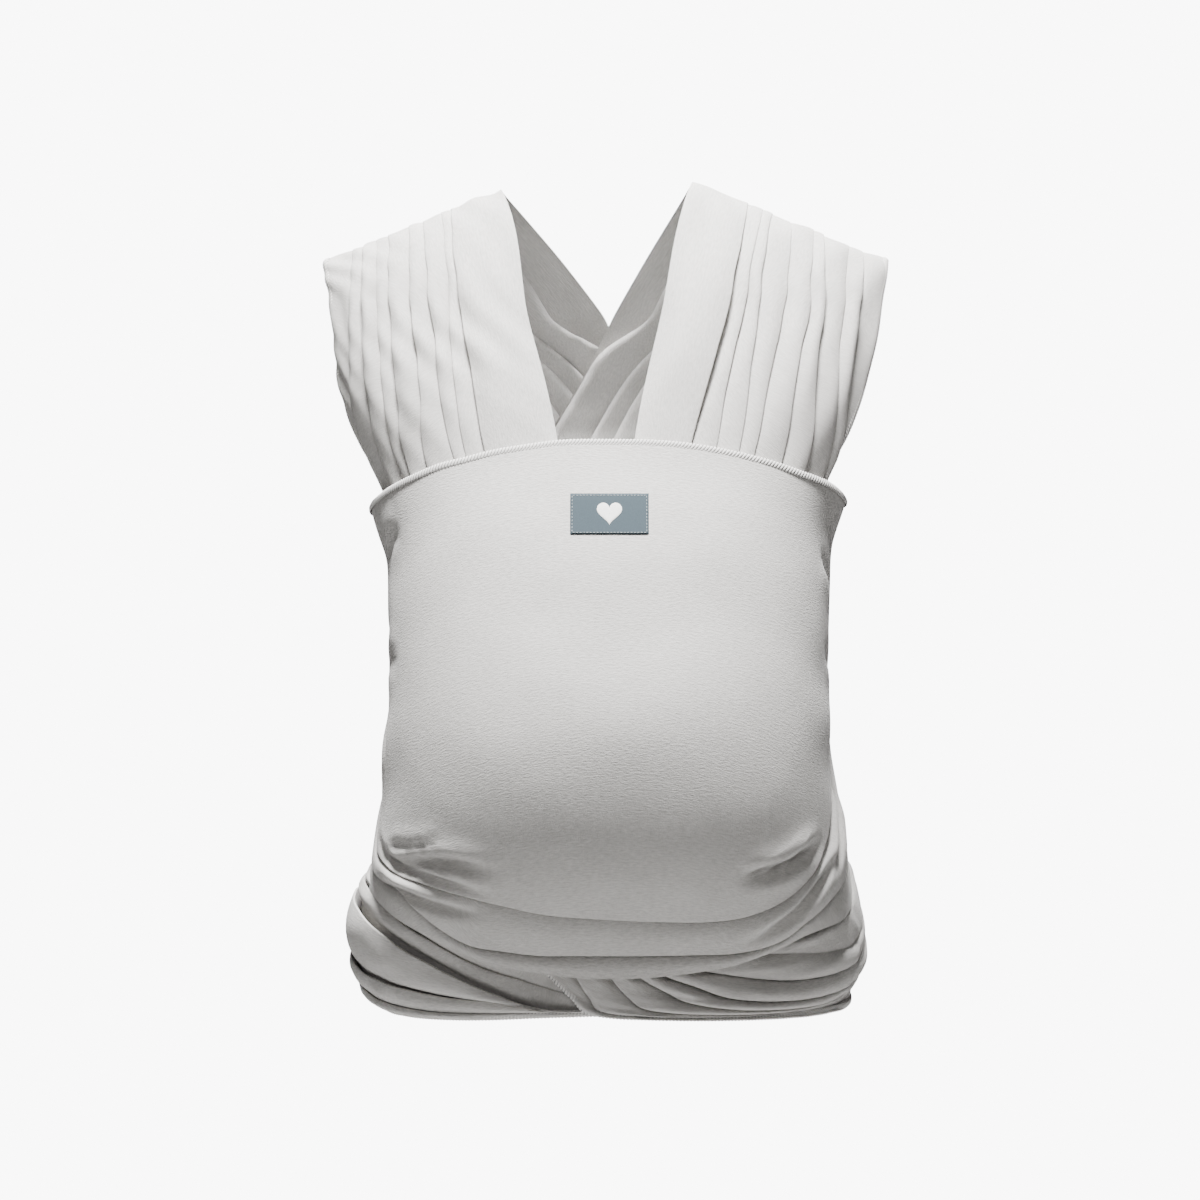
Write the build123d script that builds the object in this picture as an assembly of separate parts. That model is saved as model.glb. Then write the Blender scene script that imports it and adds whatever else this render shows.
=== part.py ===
"""Stretch baby wrap sling, tied as it is worn: one 4.8 m length of jersey laid in passes.

Millimetres, +Z up, the wearer faces -Y, and "left" is the wearer's left, at +X.
The origin is on the wearer's axis, level with the wrap's lowest edge. Each pass of the cloth
is a closed shell laid on one smooth outline of the wearer and the baby, at its own layer.
"""

import os
from math import asin, atan2, cos, degrees, dist, pi, radians, sin

import numpy as np
from build123d import *

# --- Cloth -------------------------------------------------------------------------------
CLOTH = 2.4  # thickness of a gathered pass
LAYER = 3.2  # pitch from one pass to the pass laid over it
SEAM_GAP = 0.6  # clearance between two pieces that meet end to end
HEM_WIDTH = 5.0  # width of the overlocked edge
HEM_THICK = 3.0  # thickness of the overlocked edge

# --- Outline of the wearer and the baby ---------------------------------------------------
HIP_HALF = 178.0  # half width at the hips
CHEST_HALF = 156.0  # half width under the arms
SHOULDER_HALF = 212.0  # half width at the shoulder caps
BUMP_DEPTH = 187.0  # from the axis forward to the baby's back
HEM_DEPTH = 112.0  # from the axis forward to the chest at the pouch's top edge
BASE_DEPTH = 118.0  # from the axis forward at the lowest edge
BACK_DEPTH = 98.0  # from the axis back to the shoulder blades
ROUNDNESS = 2.4  # exponent of the outline's cross-section: 2 is an ellipse

# --- Heights -------------------------------------------------------------------------------
WAIST_TOP = 108.0  # top of the waist passes at the hips
BUMP_HEIGHT = 195.0  # where the baby's back stands furthest forward
POUCH_CORNER = 383.0  # pouch's top edge under the arms
POUCH_TOP = 423.0  # pouch's top edge at the front
SHOULDER_CUT = 518.0  # where the chest and back passes become the shoulder passes
SHOULDER_TOP = 603.0  # shoulder pass beside the neck
SHOULDER_SLOPE = 0.42  # fall of the shoulder, per mm outwards
NECK_HALF = 75.0  # from the axis to the neck's side
DOME = 1.5  # exponent of the shoulder's roundness from front to back

# --- Label -----------------------------------------------------------------------------------
LABEL_WIDTH = 55.0
LABEL_HEIGHT = 30.0
LABEL_THICK = 0.8
LABEL_HEIGHT_OVER_FLOOR = 370.0
HEART_WIDTH = 17.0
HEART_THICK = 0.3
STITCH = 0.5  # thread's thickness
LABEL_CLEARANCE = 0.1

# --- Knot and tails ---------------------------------------------------------------------------
KNOT_HEIGHT = 96.0
KNOT_STANDOFF = 21.0  # from the outline's back to the knot's middle
STRAND_RADIUS = 8.0  # an end of the cloth, drawn together
STRAND_GAP = 0.7  # clearance between two strands
BAND_LEG = 62.0  # from the knot's middle to where a band is drawn into its strand
TAIL_LEG = 74.0  # from the knot's middle to where a strand ends at its tail
TAIL_ROOT_WIDTH = 28.0
TAIL_TIP_WIDTH = 62.0
TAIL_LENGTH = 68.0
TAIL_THICK = 5.0
TAIL_GAP = 1.0
CARE_WIDTH = 12.0
CARE_LENGTH = 22.0
CARE_THICK = 0.6

SIDES = {"left": 1, "right": -1}
POUCH_ANGLE = 75.0  # the pouch panel ends this far round from the front
SIDE_ANGLE = 112.0  # the side pass ends this far round, and the back pass goes on from it


def curve(*stations):
    """A smooth function through (position, value) stations, level beyond both ends."""
    at, value = (np.array(column, float) for column in zip(*stations, strict=True))
    slope = np.gradient(value, at)
    slope[0] = slope[-1] = 0.0

    def evaluate(x):
        x = min(max(x, at[0]), at[-1])
        i = min(int(np.searchsorted(at, x, side="right")) - 1, len(at) - 2)
        span = at[i + 1] - at[i]
        t = (x - at[i]) / span
        return float(
            (2 * t**3 - 3 * t**2 + 1) * value[i]
            + (t**3 - 2 * t**2 + t) * span * slope[i]
            + (3 * t**2 - 2 * t**3) * value[i + 1]
            + (t**3 - t**2) * span * slope[i + 1]
        )

    return evaluate


half_width = curve(
    (0, HIP_HALF - 12),
    (WAIST_TOP * 0.4, HIP_HALF),
    (WAIST_TOP, HIP_HALF - 9),
    (BUMP_HEIGHT, CHEST_HALF + 1),
    (0.75 * POUCH_CORNER, CHEST_HALF),
    (POUCH_CORNER, CHEST_HALF + 10),
    (POUCH_TOP + 9, SHOULDER_HALF - 24),
    (0.5 * (POUCH_TOP + SHOULDER_TOP), SHOULDER_HALF - 7),
    (SHOULDER_TOP - 40, SHOULDER_HALF),
)
front_depth = curve(
    (0, BASE_DEPTH),
    (0.2 * BUMP_HEIGHT, BASE_DEPTH + 3),
    (0.6 * BUMP_HEIGHT, BASE_DEPTH + 0.76 * (BUMP_DEPTH - BASE_DEPTH)),
    (BUMP_HEIGHT, BUMP_DEPTH),
    (0.5 * (BUMP_HEIGHT + POUCH_TOP), 0.4 * HEM_DEPTH + 0.6 * BUMP_DEPTH),
    (POUCH_TOP, HEM_DEPTH),
    (SHOULDER_TOP - 40, HEM_DEPTH - 26),
)
back_depth = curve(
    (0, BACK_DEPTH + 5),
    (0.6 * WAIST_TOP, BACK_DEPTH + 5),
    (BUMP_HEIGHT, BACK_DEPTH - 6),
    (POUCH_TOP, BACK_DEPTH + 6),
    (SHOULDER_TOP - 40, BACK_DEPTH - 12),
)


def shoulder_height(x):
    """Height of the shoulder's ridge at a distance from the axis."""
    return SHOULDER_TOP - SHOULDER_SLOPE * (abs(x) - NECK_HALF)


def dome(x, z):
    """How much of the full depth is left at a height, as the shoulder closes over."""
    share = min(max((z - POUCH_TOP) / (shoulder_height(x) - POUCH_TOP), 0.0), 1.0)
    return (1 - share**DOME) ** 0.5


def outline(angle, z, off):
    """A point on the outline: angle is degrees round from the front, positive to the left."""
    s, c = sin(radians(angle)), cos(radians(angle))
    reach = (abs(s) ** ROUNDNESS + abs(c) ** ROUNDNESS) ** (-1 / ROUNDNESS)
    x = (half_width(z) + off) * reach * s
    depth = front_depth(z) if c >= 0 else back_depth(z)
    return x, -(depth + off) * reach * c * dome(x, z), z


def angle_at(x, z, off, side, behind=False):
    """The outline's angle where it stands x from the axis."""
    share = abs(x) / (half_width(z) + off)
    turn = degrees(atan2(share, (1 - share**ROUNDNESS) ** (1 / ROUNDNESS)))
    return side * (180 - turn if behind else turn)


def over_shoulder(x_share, across, off, side, edges):
    """A point of the arc over the shoulder. across runs from -1, at the front cut, to 1, behind."""
    neck, cap = edges
    x = neck + (cap - neck) * x_share
    ridge = shoulder_height(x) + off
    start = asin(((SHOULDER_CUT + SEAM_GAP - POUCH_TOP) / (ridge - POUCH_TOP)) ** (DOME / 2))
    turn = start + (pi - 2 * start) * (across + 1) / 2
    z = POUCH_TOP + (ridge - POUCH_TOP) * sin(turn) ** (2 / DOME)
    lateral = (1 - (x / (half_width(z) + off)) ** ROUNDNESS) ** (1 / ROUNDNESS)
    depth = front_depth(z) if turn < pi / 2 else back_depth(z)
    return side * x, -(depth + off) * lateral * cos(turn), z


def shell(point, columns=16, rows=60):
    """A closed shell, CLOTH thick, whose outer face is point(u, v, 0) for u and v from 0 to 1."""
    faces = []
    for depth in (0.0, CLOTH):
        grid = [
            [point(i / rows, j / columns, depth) for j in range(columns + 1)]
            for i in range(rows + 1)
        ]
        faces.append(Face.make_surface_from_array_of_points(grid, tol=0.03))
    outer, inner = faces
    walls = []
    for edge in outer.edges():
        middle = edge @ 0.5
        partner = min(inner.edges(), key=lambda e: (e @ 0.5 - middle).length)
        walls.append(Face.make_surface_from_curves(edge, partner))
    solid = Solid(Shell([outer, inner, *walls]))
    return solid if solid.volume > 0 else Solid(solid.wrapped.Reversed())


def between(a, b, share):
    return a + (b - a) * share


def save(name, shape):
    shape.label = name
    export_step(shape, f"parts/{name}.step")
    return shape


# --- Passes ---------------------------------------------------------------------------------------
# A pass is a point(u, v, depth): u runs along the cloth and v across it, from edge to edge.
pouch_foot = curve((0, 38), (30, 50), (50, 74), (POUCH_ANGLE, 100), (SIDE_ANGLE, 100))
pouch_head = curve(
    (0, POUCH_TOP),
    (30, POUCH_TOP - 4),
    (POUCH_ANGLE - 12, POUCH_CORNER + 12),
    (POUCH_ANGLE + 15, POUCH_CORNER),
)
NECK_EDGE = {  # distance of a chest pass's inner edge from the axis, at each height
    "right": curve((50, 12), (250, 25), (425, 38), (461, 46), (518, 62), (560, 72)),
    "left": curve((50, 6), (250, 12), (431, 20), (469, 28), (510, 38), (570, 53)),
}
NECK_AT_RIDGE = {"right": 80.0, "left": 62.0}
NECK_BEHIND = 4.0  # from the axis to a shoulder pass's inner edge at the back cut
CAP_SHARE = 0.95  # the outer edge of a shoulder pass, as a share of the outline's half width
CHEST_FOOT = 52.0
PASS_LEVEL = {"left": 1.0, "right": 2.0}  # the back pass to the left shoulder lies innermost


def strip(whole, near, far, from_start=False):
    """The strip of a pass from near to far, in mm in from its v = 1 edge, or its v = 0 edge."""

    def point(u, v, depth):
        share = between(near, far, v) / dist(whole(u, 0, 0), whole(u, 1, 0))
        return whole(u, share if from_start else 1 - share, depth)

    return point


def trimmed(whole, from_start=False):
    """A pass without its hem."""
    cut = HEM_WIDTH + SEAM_GAP

    def point(u, v, depth):
        share = cut / dist(whole(u, 0, 0), whole(u, 1, 0))
        v = between(share, 1, v) if from_start else between(0, 1 - share, v)
        return whole(u, v, depth)

    return point


def pouch(u, v, depth):
    """The pouch's cloth across the baby's back."""
    angle = between(-POUCH_ANGLE, POUCH_ANGLE, u)
    z = between(pouch_foot(abs(angle)), pouch_head(abs(angle)), v)
    return outline(angle, z, 2 * LAYER - depth)


def side_pass(name):
    """The pouch's cloth carried round under the arm, down to the back pass's layer."""
    start = POUCH_ANGLE + degrees(SEAM_GAP / half_width(BUMP_HEIGHT))
    inner = 3.0 - PASS_LEVEL[name]

    def point(u, v, depth):
        angle = between(start, SIDE_ANGLE, u)
        z = between(pouch_foot(angle), pouch_head(angle), v)
        return outline(SIDES[name] * angle, z, between(2.0, inner, u) * LAYER - depth)

    return point


def back_pass(name):
    """From under the other arm, up across the back, to the shoulder called name."""
    cap = CAP_SHARE * half_width(SHOULDER_CUT)
    start = SIDE_ANGLE + 0.4
    cut = SHOULDER_CUT - SEAM_GAP
    upper_end = 360 - angle_at(NECK_BEHIND, SHOULDER_CUT, 0, 1, behind=True)
    lower_end = 360 - angle_at(cap, SHOULDER_CUT, 0, 1, behind=True)
    upper_angle = curve((0, start), (0.4, 150), (0.65, 166), (1, upper_end))
    upper_height = curve((0, POUCH_CORNER), (0.4, 400), (0.65, 430), (1, cut))
    lower_angle = curve((0, start), (0.3, 150), (0.6, 196), (0.85, 222), (1, lower_end))
    lower_height = curve((0, 100), (0.3, 122), (0.6, 235), (0.85, 400), (1, cut))

    def point(u, v, depth):
        angle = between(lower_angle(u), upper_angle(u), v)
        z = between(lower_height(u), upper_height(u), v)
        return outline(-SIDES[name] * angle, z, PASS_LEVEL[name] * LAYER - depth)

    return point


def chest_pass(name):
    """From the shoulder down behind the pouch."""
    cap_share = curve((50, 0.5), (250, 0.8), (POUCH_CORNER, 0.92), (POUCH_TOP, CAP_SHARE))

    def point(u, v, depth):
        z = between(CHEST_FOOT, SHOULDER_CUT - SEAM_GAP, u)
        neck = angle_at(NECK_EDGE[name](z), z, LAYER, 1)
        cap = angle_at(cap_share(z) * (half_width(z) + LAYER), z, LAYER, 1)
        return outline(SIDES[name] * between(neck, cap, v), z, LAYER - depth)

    return point


def shoulder_pass(name):
    """Over the shoulder, from the front cut to the back one."""
    front_neck = NECK_EDGE[name](SHOULDER_CUT)

    def point(u, v, depth):
        rise = sin(pi * u)
        neck = between(between(front_neck, NECK_BEHIND, u), NECK_AT_RIDGE[name], rise)
        cap = CAP_SHARE * (half_width(SHOULDER_CUT + 40 * rise) + LAYER)
        off = LAYER * between(1.0, PASS_LEVEL[name], u) - depth
        return over_shoulder(v, 2 * u - 1, off, SIDES[name], (neck, cap))

    return point


def waist_pass(name):
    """From the crossing under the pouch, round the hip, to the knot. The left one lies on top
    at the crossing, and both go from behind the pouch's foot to over the side pass."""
    under = 1.0 if name == "left" else 0.0
    start = -14.0 if name == "left" else -20.0
    leg_height, leg_depth = KNOT_HEIGHT + strand_inner(), strand_depth(name)
    end_off = KNOT_STANDOFF + leg_depth + CLOTH / 2 + 2
    end = angle_at(BAND_LEG + 2.5, KNOT_HEIGHT, end_off, 1, behind=True)
    foot = curve(
        (start, 4), (10, 2), (45, 4), (90, 12), (125, 30), (end, leg_height - STRAND_RADIUS)
    )
    head = curve(
        (start, 40),
        (0, 43),
        (22, 46),
        (30, 48),
        (50, 72),
        (POUCH_ANGLE, 98),
        (100, WAIST_TOP),
        (125, WAIST_TOP + 6),
        (end, leg_height + STRAND_RADIUS),
    )
    lift = curve(
        (start, under),
        (14, under),
        (30, 1),
        (50, 2),
        (68, 3.1),
        (100, 3.2),
        (125, 3.4),
        (end, end_off / LAYER),
    )

    def point(u, v, depth):
        angle = between(start, end, u)
        z = between(foot(angle), head(angle), v)
        return outline(SIDES[name] * angle, z, lift(angle) * LAYER - depth)

    return point


# --- Label ------------------------------------------------------------------------------------
def label_plane(off):
    """The plane that faces the viewer at the label's height, off in front of the pouch."""
    z = LABEL_HEIGHT_OVER_FLOOR
    low, high = (outline(0, z + dz, 2 * LAYER) for dz in (-LABEL_HEIGHT / 2, LABEL_HEIGHT / 2))
    along = Vector(0, high[1] - low[1], high[2] - low[2]).normalized()
    normal = Vector(1, 0, 0).cross(along).normalized()
    middle = Vector(0, 0.5 * (low[1] + high[1]), z)
    sag = abs(outline(0, z, 2 * LAYER)[1] - middle.Y)
    return Plane(
        origin=middle + normal * (sag + LABEL_CLEARANCE + off), x_dir=(1, 0, 0), z_dir=normal
    )


def label_patch():
    return Solid.extrude(
        Face(RectangleRounded(LABEL_WIDTH, LABEL_HEIGHT, 1.5).face().wrapped).moved(
            label_plane(0).location
        ),
        label_plane(0).z_dir * LABEL_THICK,
    )


def heart_face(width):
    """A plain heart: two half circles on a rounded point."""
    r = width / 4
    left_lobe = CenterArc((-r, 0), r, 0, 180)
    right_lobe = CenterArc((r, 0), r, 0, 180)
    tip = (0, -1.9 * 2 * r * 0.62)
    left = ThreePointArc((-2 * r, 0), (-1.45 * r, -1.15 * r), tip)
    right = ThreePointArc(tip, (1.45 * r, -1.15 * r), (2 * r, 0))
    return make_face([left_lobe, right_lobe, left, right])


def label_heart():
    plane = label_plane(LABEL_THICK + LABEL_CLEARANCE)
    face = heart_face(HEART_WIDTH).face().moved(Location((0, HEART_WIDTH * 0.15, 0)))
    return Solid.extrude(Face(face.wrapped).moved(plane.location), plane.z_dir * HEART_THICK)


def label_stitching():
    """The thread line inside the label's edge: four runs, one along each side."""
    plane = label_plane(LABEL_THICK + LABEL_CLEARANCE)
    inset, runs = 2.0, []
    for x, y, w, h in (
        (0, LABEL_HEIGHT / 2 - inset, LABEL_WIDTH - 4 * inset, STITCH),
        (0, inset - LABEL_HEIGHT / 2, LABEL_WIDTH - 4 * inset, STITCH),
        (LABEL_WIDTH / 2 - inset, 0, STITCH, LABEL_HEIGHT - 4 * inset),
        (inset - LABEL_WIDTH / 2, 0, STITCH, LABEL_HEIGHT - 4 * inset),
    ):
        box = Solid.make_box(w, h, STITCH).moved(Location((x - w / 2, y - h / 2, 0)))
        runs.append(box.moved(plane.location))
    return Compound(children=runs)


# --- Knot and tails --------------------------------------------------------------------------------
def strand_inner():
    """Height of a strand's two legs, above and below the knot's middle."""
    return STRAND_RADIUS + STRAND_GAP / 2


def strand_depth(name):
    """How far behind the knot's middle a strand's legs lie: the left strand's lie in front."""
    return -SIDES[name] * (STRAND_RADIUS + STRAND_GAP / 2)


def knot_strand(name):
    """One bight of the reef knot: in from the band, round its bend, and out to the tail. It
    passes from one face of the knot to the other, and over or under the other bight's bend."""
    side = SIDES[name]
    y = back_depth(KNOT_HEIGHT) + KNOT_STANDOFF
    legs, middle = y + strand_depth(name), y - strand_depth(name)
    inner = strand_inner()
    outer = inner + 2 * STRAND_RADIUS + STRAND_GAP
    swap, settle, bend = 1.5 * STRAND_RADIUS, 3.75 * STRAND_RADIUS, 5.5 * STRAND_RADIUS
    inward = [(settle, legs, inner), (swap, middle, inner), (-swap, middle, outer)]
    inward += [(-settle, legs, outer), (-bend, legs, outer)]
    outward = [(x, depth, -leg) for x, depth, leg in reversed(inward)]
    path = [(BAND_LEG, legs, inner), *inward, *outward, (TAIL_LEG, legs, -inner)]
    points = [(side * x, depth, KNOT_HEIGHT + leg) for x, depth, leg in path]
    line = FilletPolyline(*points, radius=1.1 * STRAND_RADIUS)
    section = Plane(origin=line @ 0, z_dir=line % 0) * Circle(STRAND_RADIUS)
    return sweep(section, path=line)


def tail_outline(inset=0.0):
    """The flat outline of a tail, hanging down from its hinge line at y 0."""
    root, tip = TAIL_ROOT_WIDTH / 2 - inset, TAIL_TIP_WIDTH / 2 - inset
    foot = inset - TAIL_LENGTH
    return make_face(Polyline((-root, 0), (root, 0), (tip, foot), (-tip, foot), close=True))


def tail_plane(name):
    y = back_depth(KNOT_HEIGHT) + KNOT_STANDOFF + strand_depth(name) + 4
    top = KNOT_HEIGHT - strand_inner() - STRAND_RADIUS - TAIL_GAP
    return Plane(origin=(SIDES[name] * TAIL_LEG, y, top), x_dir=(-1, 0, 0), z_dir=(0, 1, 0))


def flat_piece(face, plane, start, thick):
    moved = face.face().moved(Location((0, 0, start)))
    return Solid.extrude(Face(moved.wrapped).moved(plane.location), plane.z_dir * thick)


def tail(name):
    return flat_piece(tail_outline(HEM_WIDTH), tail_plane(name), -TAIL_THICK / 2, TAIL_THICK)


def tail_hem(name):
    rim = tail_outline() - tail_outline(HEM_WIDTH - SEAM_GAP)
    return flat_piece(rim, tail_plane(name), -HEM_THICK / 2, HEM_THICK)


def care_label():
    """A narrow tape sewn into the left tail, lying on its outer face."""
    tape = Rectangle(CARE_WIDTH, CARE_LENGTH).face().moved(Location((0, -TAIL_LENGTH / 2, 0)))
    return flat_piece(tape, tail_plane("left"), TAIL_THICK / 2 + LABEL_CLEARANCE, CARE_THICK)


# --- Build ------------------------------------------------------------------------------------------
def save_pass(name, whole, from_start=False):
    """A pass and its hem."""
    save(name, shell(trimmed(whole, from_start)))
    save(name.replace("pass", "hem"), shell(strip(whole, HEM_WIDTH, 0, from_start), columns=3))


def build():
    os.makedirs("parts", exist_ok=True)
    save("pouch_panel", shell(trimmed(pouch)))
    save("pouch_top_hem", shell(strip(pouch, HEM_WIDTH, 0), columns=3))
    save("label_patch", label_patch())
    save("label_heart", label_heart())
    save("label_stitching", label_stitching())
    save("care_label", care_label())
    for name in SIDES:
        save(f"side_pass_{name}", shell(side_pass(name)))
        save_pass(f"chest_pass_{name}", chest_pass(name))
        save_pass(f"shoulder_pass_{name}", shoulder_pass(name))
        save_pass(f"back_pass_{name}", back_pass(name), from_start=True)
        save_pass(f"waist_pass_{name}", waist_pass(name), from_start=True)
        save(f"knot_strand_{name}", knot_strand(name))
        save(f"tail_{name}", tail(name))
        save(f"tail_hem_{name}", tail_hem(name))


build()
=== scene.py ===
"""Looks of a stretch baby wrap, tied as it is worn, around its CAD frame.

The cloth is one long length of jersey. Each of its passes is a sheet laid in real pleats on the
outline of the wearer and the baby; the overlocked edges, label, knot and tails follow it.
Metres, +Z up, the wearer faces -Y, and "left" is the wearer's left, at +X.
"""

import bpy
import numpy as np
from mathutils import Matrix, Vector
from mathutils.bvhtree import BVHTree


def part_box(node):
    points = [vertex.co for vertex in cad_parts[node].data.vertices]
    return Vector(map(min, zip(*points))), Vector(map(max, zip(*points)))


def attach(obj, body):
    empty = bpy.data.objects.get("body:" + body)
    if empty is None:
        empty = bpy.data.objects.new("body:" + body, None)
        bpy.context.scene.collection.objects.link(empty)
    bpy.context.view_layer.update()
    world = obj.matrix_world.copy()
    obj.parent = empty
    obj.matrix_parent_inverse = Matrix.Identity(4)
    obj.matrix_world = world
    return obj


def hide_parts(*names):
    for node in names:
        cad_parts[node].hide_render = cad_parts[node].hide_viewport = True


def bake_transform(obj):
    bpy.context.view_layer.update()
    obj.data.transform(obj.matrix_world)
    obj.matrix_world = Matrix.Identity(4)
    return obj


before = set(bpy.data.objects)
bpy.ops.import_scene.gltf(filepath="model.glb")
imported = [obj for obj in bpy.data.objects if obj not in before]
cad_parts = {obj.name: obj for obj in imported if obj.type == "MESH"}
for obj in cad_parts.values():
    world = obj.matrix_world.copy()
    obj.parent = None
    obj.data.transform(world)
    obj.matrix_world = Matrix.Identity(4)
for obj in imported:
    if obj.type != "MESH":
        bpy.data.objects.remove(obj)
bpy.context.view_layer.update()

LAYER = 0.0032  # pitch from one pass to the pass laid over it
ROUNDNESS = 2.4
POUCH_TOP = 0.423
SHOULDER_CUT = 0.518
SHOULDER_TOP = 0.603
SIDES = {"left": 1, "right": -1}
ROOT, POUCH = "worn_wrap", "pouch"


# --- The wearer's outline -----------------------------------------------------------------------
def curve(*stations):
    """A smooth function through (position, value) stations, level beyond both ends."""
    at, value = (np.array(column, float) for column in zip(*stations, strict=True))
    slope = np.gradient(value, at)
    slope[[0, -1]] = 0

    def evaluate(x):
        x = np.clip(x, at[0], at[-1])
        i = np.clip(np.searchsorted(at, x, side="right") - 1, 0, len(at) - 2)
        span = at[i + 1] - at[i]
        t = (x - at[i]) / span
        return (
            (2 * t**3 - 3 * t**2 + 1) * value[i]
            + (t**3 - 2 * t**2 + t) * span * slope[i]
            + (3 * t**2 - 2 * t**3) * value[i + 1]
            + (t**3 - t**2) * span * slope[i + 1]
        )

    return evaluate


def level(value):
    """A curve that stays at one value."""
    return lambda x: np.full_like(np.asarray(x, float), value)


half_width = curve(
    (0, 0.166), (0.043, 0.178), (0.108, 0.169), (0.195, 0.157), (0.287, 0.156),
    (0.383, 0.166), (0.432, 0.188), (0.513, 0.205), (0.563, 0.212),
)
front_depth = curve(
    (0, 0.118), (0.039, 0.121), (0.117, 0.1704), (0.195, 0.187), (0.309, 0.157),
    (0.423, 0.112), (0.563, 0.086),
)
back_depth = curve((0, 0.103), (0.065, 0.103), (0.195, 0.092), (0.423, 0.104), (0.563, 0.086))


def shoulder_height(x):
    return SHOULDER_TOP - 0.42 * (abs(x) - 0.075)


def outline(angle, z, off):
    """Points on the outline: angle is degrees round from the front, positive to the left."""
    s, c = np.sin(np.radians(angle)), np.cos(np.radians(angle))
    reach = (abs(s) ** ROUNDNESS + abs(c) ** ROUNDNESS) ** (-1 / ROUNDNESS)
    x = (half_width(z) + off) * reach * s
    share = np.clip((z - POUCH_TOP) / (shoulder_height(x) - POUCH_TOP), 0, 1)
    depth = np.where(c >= 0, front_depth(z), back_depth(z)) + off
    return np.stack(np.broadcast_arrays(x, -depth * reach * c * (1 - share**1.5) ** 0.5, z), -1)


def angle_at(x, z, off, behind=False):
    share = np.clip(abs(x) / (half_width(z) + off), 0, 0.9999)
    turn = np.degrees(np.arctan2(share, (1 - share**ROUNDNESS) ** (1 / ROUNDNESS)))
    return 180 - turn if behind else turn


# --- Grids --------------------------------------------------------------------------------------
def evenly(grid, step):
    """A grid's rows placed evenly along its middle, with each row's station from 0 to 1."""
    middle = grid[:, grid.shape[1] // 2]
    along = np.r_[0, np.cumsum(np.linalg.norm(np.diff(middle, axis=0), axis=1))]
    at = np.linspace(0, along[-1], int(along[-1] / step) + 1)
    i = np.clip(np.searchsorted(along, at, side="right") - 1, 0, len(along) - 2)
    t = ((at - along[i]) / (along[i + 1] - along[i]))[:, None, None]
    return grid[i] * (1 - t) + grid[i + 1] * t, at / along[-1]


def normals_of(grid, outward):
    """Unit normals of a grid. outward is 1 or -1, for which way round its rows run."""
    along, across = np.gradient(grid, axis=0), np.gradient(grid, axis=1)
    n = np.cross(along, across) * outward
    return n / np.maximum(np.linalg.norm(n, axis=-1, keepdims=True), 1e-12)


def sample(grid, at):
    """Each row of a grid read at its own places across it, from 0 to 1."""
    last = grid.shape[1] - 1
    x = np.clip(at, 0, 1) * last
    i = np.clip(x.astype(int), 0, last - 1)
    t = (x - i)[..., None]
    row = np.arange(len(grid))[:, None]
    return grid[row, i] * (1 - t) + grid[row, i + 1] * t


def widths(grid):
    return np.linalg.norm(np.diff(grid, axis=1), axis=-1).sum(axis=1)


def ripple(rng, along, across, lengths, count):
    """Soft random unevenness of about -1 to 1, with waves of about the lengths given."""
    total = 0
    for _ in range(count):
        turn, lean = rng.uniform(0.6, 1.6), rng.normal(0, 0.35)
        phase = rng.uniform(0, 2 * np.pi)
        wave = 2 * np.pi * turn * (across / lengths[1] + lean * along / lengths[1])
        drift = 2 * np.pi * rng.uniform(0.5, 1.5) * along / lengths[0] + rng.uniform(0, 6.3)
        total = total + np.sin(wave + phase + 1.3 * np.sin(drift)) * np.sin(drift + phase)
    return total / np.sqrt(count)


def lay_pleats(grid, station, folds, outward, hem_rise, visible=16, belly=0.04, full=level(1.0),
               round_over=2.0):
    """Lays a pass in knife pleats. Each fold is (place, depth, rise): curves of the station for
    where it lies across the pass, from 0 to 1, how deep it is tucked, and how high it stands.
    The cloth above a fold lies over the cloth below it. Returns positions and each point's place
    across the pass, from 0 to 1."""
    n, width = normals_of(grid, outward), widths(grid)[:, None]
    t = station[:, None]
    place, height, edge = [], [], np.zeros_like(t)
    tuck = np.zeros_like(t)
    gap, below = 0.0005, 0
    for k in range(len(folds) + 1):
        last = k == len(folds)
        where, depth, rise = (level(1.0), level(0.0), hem_rise) if last else folds[k]
        fold = np.clip(np.maximum(where(t), edge + 0.001), 0, 1)
        room = np.clip((fold - edge) * width / 0.006, 0, 1)
        top = rise(t) * room
        space = gap * np.clip(top / 0.001, 0, 1)
        if k:
            q = np.linspace(1, 0, 5)[None, :-1]
            place.append(edge - q * tuck / width)
            height.append(-below * (1 - np.exp(-q * tuck / 0.004)) - 0.06 * q * tuck)
        p = 0.5 - 0.5 * np.cos(np.linspace(0, np.pi, visible))[None]
        place.append(edge + (fold - edge) * p)
        swell = belly * (fold - edge) * width * 4 * p * (1 - p)
        crown = np.minimum(swell, 0.3 * top + 0.001) * full(t)
        height.append(top * (1 - (1 - p) ** (round_over if k else 1.5)) + crown)
        if last:
            break
        nose = np.minimum(0.0009, top / 2.4)
        turn = np.linspace(0, np.pi, 6)[None, 1:]
        place.append(fold + nose * np.sin(turn) / width)
        height.append(top - nose * (1 - np.cos(turn)))
        tuck = np.minimum(depth(t) * room, fold * width * 0.96)
        q = np.linspace(0, 1, 6)[None, 1:]
        place.append(fold - q * tuck / width)
        drop = (top - 2 * nose) * np.exp(-q * tuck / 0.003)
        height.append(drop - space * (1 - np.exp(-q * tuck / 0.003)) - 0.06 * q * tuck)
        edge, below = fold, 2 * space
    place = np.concatenate([np.broadcast_to(x, (len(t), x.shape[1])) for x in place], 1)
    height = np.concatenate([np.broadcast_to(x, (len(t), x.shape[1])) for x in height], 1)
    return sample(grid, place) + sample(n, place) * height[..., None], place


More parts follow.
